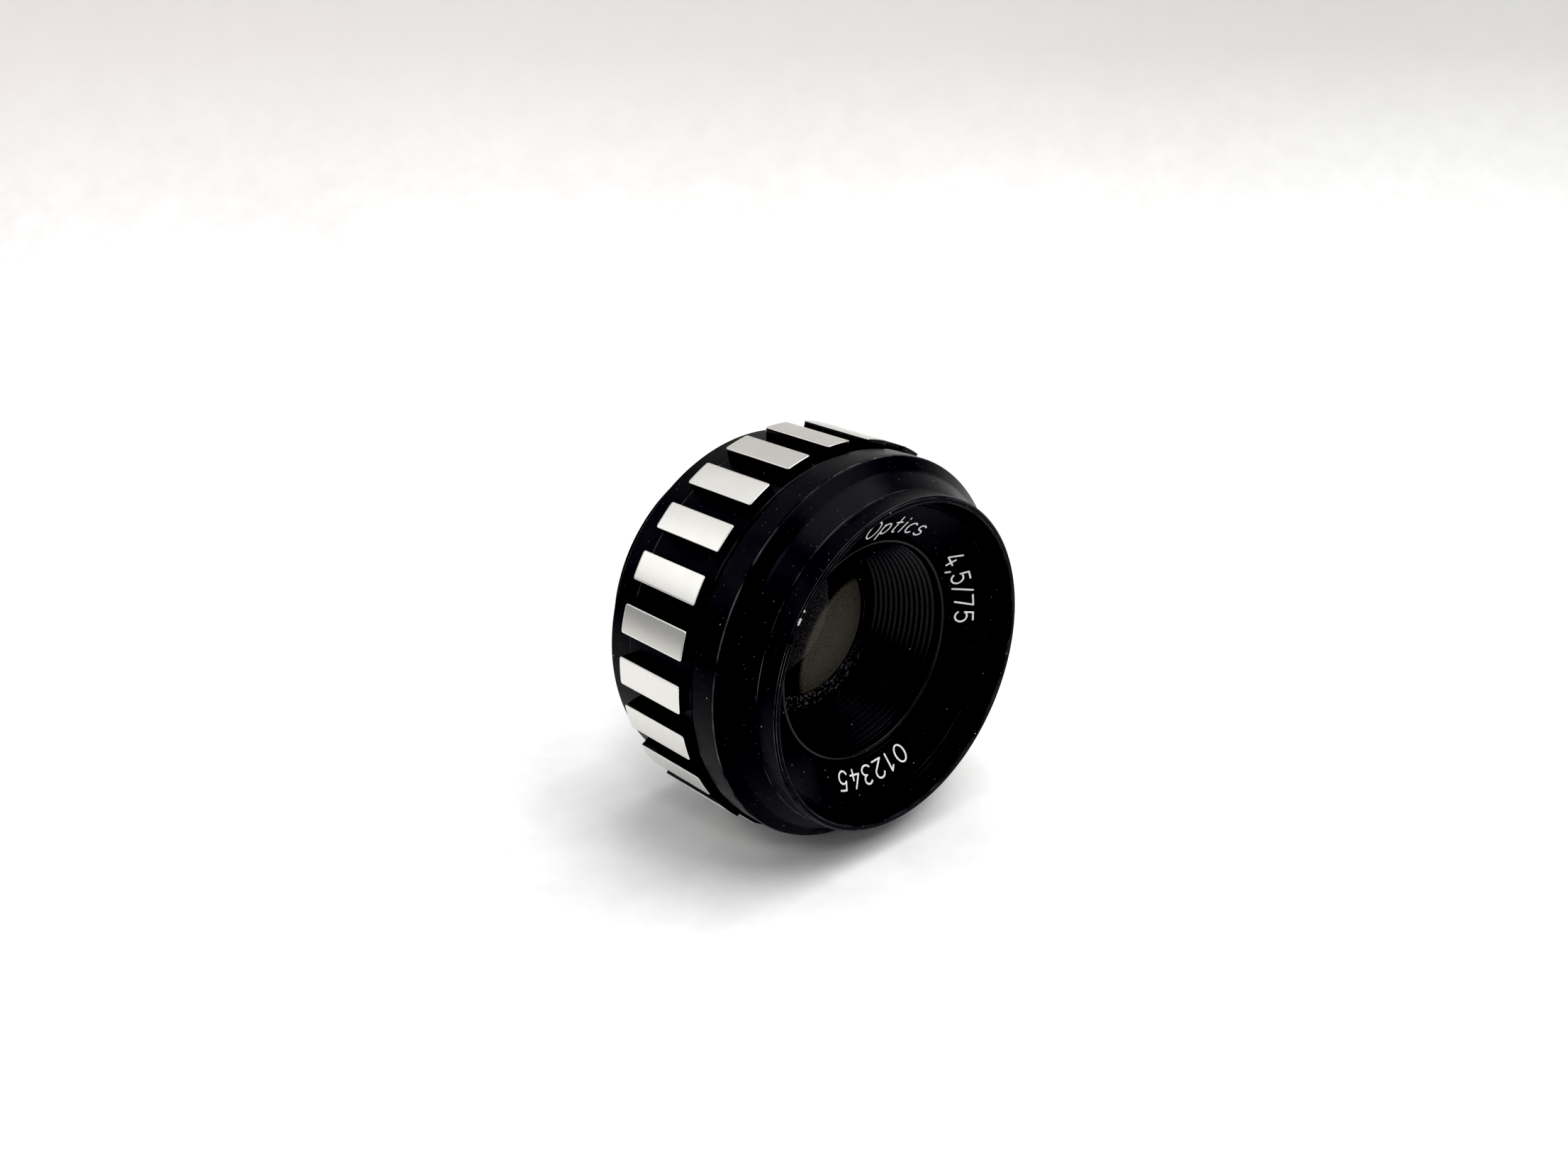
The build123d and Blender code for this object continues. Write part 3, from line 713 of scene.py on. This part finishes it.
def make_clamps():
    """Threaded rings that hold the front and the rear glass, and the rear cell."""
    section = rounded(
        [
            (9.3, 11.0, 0.06),
            (10.2, 10.62, 0.05),
            (10.5, 10.44, 0.05),
            (11.5, 10.44, 0.05),
            (11.5, 10.9, 0.05),
            (11.3, 11.25, 0.05),
            (9.55, 11.25, 0.06),
        ]
    )
    bm = lathe(section)
    front = new_piece("front_clamp", bm, "barrel", ["front_clamp_ring"], clamp_black)
    cut(front, [block_cutter(10.6, 11.5, angle, (1.6, 0.9, 0.9)) for angle in (-25, 155)])
    section = rounded(
        [
            (8.6, -1.33, 0.05),
            (9.38, -1.42, 0.03),
            (9.38, -2.7, 0.03),
            (10.0, -2.8, 0.03),
            (10.0, -4.35, 0.05),
            (10.25, -4.6, 0.05),
            (12.95, -4.6),
            (13.2, -4.35),
            (13.2, -3.2),
            (12.15, -3.2, 0.05),
            (12.15, -0.35, 0.05),
            (9.2, -0.35, 0.05),
            (8.6, -0.9, 0.05),
        ],
        0.08,
    )
    bm = lathe(section)
    cell = new_piece("rear_cell_turned", bm, "barrel", ["rear_cell"], barrel_black)
    cut(cell, [block_cutter(12.4, -4.7, angle, (1.4, 1.2, 1.8)) for angle in (0, 180)])
    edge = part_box("rear_clamp_ring")
    rear, front_edge = -edge[1][1] / MM, -edge[0][1] / MM
    section = rounded(
        [
            (8.7, front_edge - 0.3, 0.05),
            (9.3, front_edge, 0.05),
            (9.98, front_edge, 0.05),
            (9.98, rear, 0.05),
            (9.2, rear, 0.06),
            (8.7, rear + 0.4, 0.06),
        ]
    )
    bm = lathe(section)
    ring = new_piece("rear_clamp", bm, "barrel", ["rear_clamp_ring"], barrel_black)
    cut(ring, [block_cutter(9.5, rear, angle, (1.4, 0.8, 0.8)) for angle in (90, -90)])


def make_glass():
    """The three elements, with fine curved faces and blackened edges."""
    shapes = {
        "front_element": (10.6, 12.25, 31.0, 7.9, -180.0, glass_finish),
        "middle_element": (8.4, 6.1, -45.0, 5.1, 24.0, inner_glass_finish),
        "rear_element": (9.35, -0.7, 60.0, -4.3, -28.0, inner_glass_finish),
    }
    for node, (edge_r, front, front_bend, back, back_bend, finish) in shapes.items():
        front_edge = front - math.copysign(abs(front_bend) - math.sqrt(front_bend**2 - edge_r**2), front_bend)
        back_edge = back - math.copysign(abs(back_bend) - math.sqrt(back_bend**2 - edge_r**2), back_bend)
        bm = dome((front, front_edge), (back, back_edge), edge_r - 0.02)
        piece = new_piece(node + "_polished", bm, "barrel", [node], finish)
        piece.data.materials.append(edge_black)
        for face in piece.data.polygons:
            face.material_index = 1 if abs(face.normal.y) < 0.1 else 0


# ------------------------------------------------------------------ engraving


def arc(x, y, wide, high, start, end, steps=18):
    """Points on part of an oval, angles counted anticlockwise from the right."""
    turns = [math.radians(start + (end - start) * k / steps) for k in range(steps + 1)]
    return [(x + wide * math.cos(t), y + high * math.sin(t)) for t in turns]


# Strokes of each letter, in a cell one unit high, with the width of the cell
GLYPHS = {
    "0": (0.6, [arc(0.3, 0.5, 0.3, 0.5, 90, 450, 28)]),
    "1": (0.4, [[(0.08, 0.78), (0.28, 1.0)], [(0.28, 1.0), (0.28, 0.0)]]),
    "2": (0.6, [arc(0.3, 0.7, 0.28, 0.3, 165, -35) + [(0.02, 0.0)], [(0.02, 0.0), (0.6, 0.0)]]),
    "3": (0.58, [arc(0.28, 0.76, 0.24, 0.24, 150, -90), arc(0.28, 0.26, 0.3, 0.26, 90, -150)]),
    "4": (0.62, [[(0.36, 1.0), (0.0, 0.28)], [(0.0, 0.28), (0.62, 0.28)], [(0.42, 0.56), (0.42, 0.0)]]),
    "5": (
        0.6,
        [[(0.54, 1.0), (0.12, 1.0)], [(0.12, 1.0), (0.06, 0.54)], arc(0.28, 0.33, 0.3, 0.33, 135, -150)],
    ),
    "6": (0.6, [arc(0.3, 0.3, 0.29, 0.3, 0, 360, 24), [(0.03, 0.42), (0.14, 0.72), (0.4, 1.0)]]),
    "7": (0.6, [[(0.0, 1.0), (0.58, 1.0)], [(0.58, 1.0), (0.2, 0.0)]]),
    "8": (0.6, [arc(0.3, 0.75, 0.24, 0.25, 0, 360, 22), arc(0.3, 0.25, 0.3, 0.25, 0, 360, 24)]),
    ",": (0.2, [[(0.12, 0.06), (0.02, -0.18)]]),
    "/": (0.42, [[(0.0, -0.06), (0.42, 1.04)]]),
    "O": (0.8, [arc(0.4, 0.5, 0.38, 0.5, 90, 450, 30)]),
    "p": (0.56, [[(0.04, -0.3), (0.04, 0.64)], arc(0.3, 0.33, 0.26, 0.32, 0, 360, 24)]),
    "t": (
        0.44,
        [[(0.18, 0.98), (0.18, 0.16)] + arc(0.3, 0.14, 0.12, 0.14, 180, 290, 8), [(0.0, 0.64), (0.4, 0.64)]],
    ),
    "i": (0.16, [[(0.06, 0.64), (0.06, 0.0)], [(0.06, 0.86), (0.06, 0.9)]]),
    "c": (0.5, [arc(0.28, 0.32, 0.27, 0.32, 50, 310, 20)]),
    "s": (0.48, [arc(0.24, 0.48, 0.19, 0.16, 40, 270, 14) + arc(0.24, 0.16, 0.22, 0.16, 90, -140, 14)]),
}


def add_stroke(bm, path, width, place):
    """Thin raised ribbon with round ends along a path, put on a surface by place(x, y, lift)."""
    points = [Vector(point) for point in path]
    stations = []
    for k, point in enumerate(points):
        before, after = points[max(k - 1, 0)], points[min(k + 1, len(points) - 1)]
        stations.append((point, (after - before).normalized(), 1.0))
    head, tail = stations[0], stations[-1]
    ends = [(math.sin(math.radians(t)), math.cos(math.radians(t))) for t in (80, 55, 28)]
    start = [(head[0] - head[1] * reach * width / 2, head[1], part) for reach, part in ends]
    finish = [(tail[0] + tail[1] * reach * width / 2, tail[1], part) for reach, part in reversed(ends)]
    rings = []
    for point, heading, part in start + stations + finish:
        side = Vector((-heading.y, heading.x)) * width / 2 * part
        left, right = point + side, point - side
        spots = ((left, -0.03), (left, 0.014), (right, 0.014), (right, -0.03))
        rings.append([bm.verts.new(place(at.x, at.y, lift)) for at, lift in spots])
    for low, high in zip(rings, rings[1:]):
        for k in range(4):
            bm.faces.new((low[k - 1], low[k], high[k], high[k - 1]))
    bm.faces.new(rings[0])
    bm.faces.new(rings[-1])


def engrave(name, text, size, width, middle, spacing, surface, slant=0.0):
    """Engraved text on a turned surface, centred on an angle and read clockwise."""
    advance = [GLYPHS[letter][0] * size + spacing for letter in text]
    reach = -(sum(advance) - spacing) / 2
    bm = bmesh.new()
    for letter, step in zip(text, advance):
        centre = reach + (step - spacing) / 2

        def place(x, y, lift, start=reach, centre=centre):
            return surface(start + x - centre, centre, y, lift, middle)

        for path in GLYPHS[letter][1]:
            drawn = [((x + slant * y) * size, y * size) for x, y in path]
            add_stroke(bm, drawn, width, place)
        reach += step
    new_piece(name, bm, "barrel", [], paint)


def on_cone(x, centre, y, lift, middle):
    """Place on the nameplate cone, y up its slope from the text's base line."""
    slope = math.atan2(CONE_OUTER[1] - CONE_INNER[1], CONE_OUTER[0] - CONE_INNER[0])
    line_r = CONE_INNER[0] + (CONE_TEXT_BASE + y) * math.cos(slope)
    text_r = CONE_INNER[0] + CONE_TEXT_MIDDLE * math.cos(slope)
    radius = math.hypot(line_r, x)
    height = CONE_INNER[1] + (radius - CONE_INNER[0]) * math.tan(slope) + lift * math.cos(slope)
    angle = middle - math.degrees(centre / text_r + math.atan2(x, line_r))
    return spot(radius - lift * math.sin(slope), height, angle)


def on_band(x, centre, y, lift, middle):
    """Place on the band of the front barrel, with the numbers' tops towards the ring."""
    return spot(BAND_R + lift, BAND_TEXT_BASE - y, middle - math.degrees((x + centre) / BAND_R))


def on_index_land(x, height, lift):
    """Place on top of the land that carries the index mark."""
    return spot(LAND_R + lift, height, INDEX_ANGLE + math.degrees(x / LAND_R))


def make_engraving():
    """Text on the cone, the index mark on its land and the aperture numbers on the band."""
    engrave("engraved_word", "Optics", 2.5, 0.23, -10.5, 0.62, on_cone, slant=0.22)
    engrave("engraved_aperture", "4,5/75", 2.45, 0.25, -73.5, 0.62, on_cone)
    engrave("engraved_number", "012345", 2.4, 0.25, -180.5, 0.75, on_cone)
    bm = bmesh.new()
    add_stroke(bm, [(0, end) for end in INDEX_REACH], INDEX_WIDTH, on_index_land)
    new_piece("index_mark", bm, "aperture_ring", [], index_paint)
    for text, turn in STOP_TURNS.items():
        engrave("stop_" + text.replace(",", "_"), text, 1.9, 0.24, INDEX_ANGLE + turn, 0.4, on_band)


# ------------------------------------------------------------------ stage


def make_stage():
    """Paper sweep, soft lights and the camera."""
    floor_z = cad_box[0][2]
    heading, pitch = math.radians(CAMERA_HEADING), math.radians(CAMERA_PITCH)
    away = Vector((math.sin(heading), math.cos(heading), 0))
    side = Vector((away.y, -away.x, 0))
    bm = bmesh.new()
    rise_start, bend_r = 0.20, 0.12
    outline = [(-2.5, 0.0), (rise_start * 0.5, 0.0), (rise_start, 0.0)]
    outline += [
        (rise_start + bend_r * math.sin(t), bend_r * (1 - math.cos(t)))
        for t in [math.radians(90 * k / 16) for k in range(1, 17)]
    ]
    outline.append((rise_start + bend_r, 0.42))
    rows = []
    for reach, lift in outline:
        row = []
        for across in (-2.5, -0.8, 0, 0.8, 2.5):
            row.append(bm.verts.new(away * reach + side * across + Vector((0, 0, floor_z + lift))))
        rows.append(row)
    for low, high in zip(rows, rows[1:]):
        for k in range(4):
            bm.faces.new((low[k], low[k + 1], high[k + 1], high[k]))
    for face in bm.faces:
        face.smooth = True
    mesh = bpy.data.meshes.new("sweep")
    bm.to_mesh(mesh)
    bm.free()
    mesh.materials.append(sweep_paper())
    sweep = bpy.data.objects.new("sweep", mesh)
    bpy.context.scene.collection.objects.link(sweep)

    lights = (
        ("window", (-0.58, 0.60, 0.47), 0.60, 1.5),
        ("overhead", (0.20, -0.25, 0.85), 0.90, 10.0),
        ("ceiling", (0.00, 0.62, 0.69), 0.50, 0.8),
        ("side fill", (-0.75, -0.35, 0.35), 0.50, 0.8),
        ("front fill", (-0.38, -0.52, 0.62), 0.14, 0.95),
    )
    for name, place, size, power in lights:
        lamp = bpy.data.lights.new(name, "AREA")
        lamp.shape = "SQUARE"
        lamp.size = size
        lamp.energy = power
        holder = bpy.data.objects.new(name, lamp)
        holder.location = place
        holder.rotation_euler = (-Vector(place)).to_track_quat("-Z", "Y").to_euler()
        bpy.context.scene.collection.objects.link(holder)

    world = bpy.data.worlds.new("room")
    world.use_nodes = True
    world.node_tree.nodes["Background"].inputs["Color"].default_value = (0.9, 0.92, 0.95, 1)
    world.node_tree.nodes["Background"].inputs["Strength"].default_value = 0.3
    scene = bpy.context.scene
    scene.world = world
    scene.view_settings.view_transform = "Standard"
    scene.view_settings.look = "None"
    scene.view_settings.use_curve_mapping = True
    scene.view_settings.curve_mapping.black_level = (0.009, 0.009, 0.008)
    scene.view_settings.curve_mapping.update()

    view = bpy.data.cameras.new("camera")
    view.lens = CAMERA_LENS
    view.sensor_width = 36.0
    view.clip_start = 0.005
    camera = bpy.data.objects.new("camera", view)
    camera.location = CAMERA_PLACE
    camera.rotation_euler = (math.radians(90) + pitch, 0, -heading)
    scene.collection.objects.link(camera)
    scene.camera = camera


KEPT = {
    "friction_washer": washer_finish,
    "cam_ring": black_brass,
    "iris_housing": black_brass,
    "actuating_screw": screw_finish,
    "barrel_grub_screw": screw_finish,
    "cam_snap_ring": screw_finish,
    "lens_spacer": cone_black,
    "front_cell": cone_black,
}
KEPT.update({f"iris_blade_{k}": blade_steel for k in range(1, 9)})


def dress_kept_nodes():
    """Give the parts that keep their CAD shape their own finish."""
    for node, finish in KEPT.items():
        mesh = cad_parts[node].data
        mesh.materials.clear()
        mesh.materials.append(finish)


make_rear_barrel()
make_ring()
make_front_barrel()
make_nameplate()
make_baffle()
make_clamps()
make_glass()
make_engraving()
dress_kept_nodes()
make_stage()
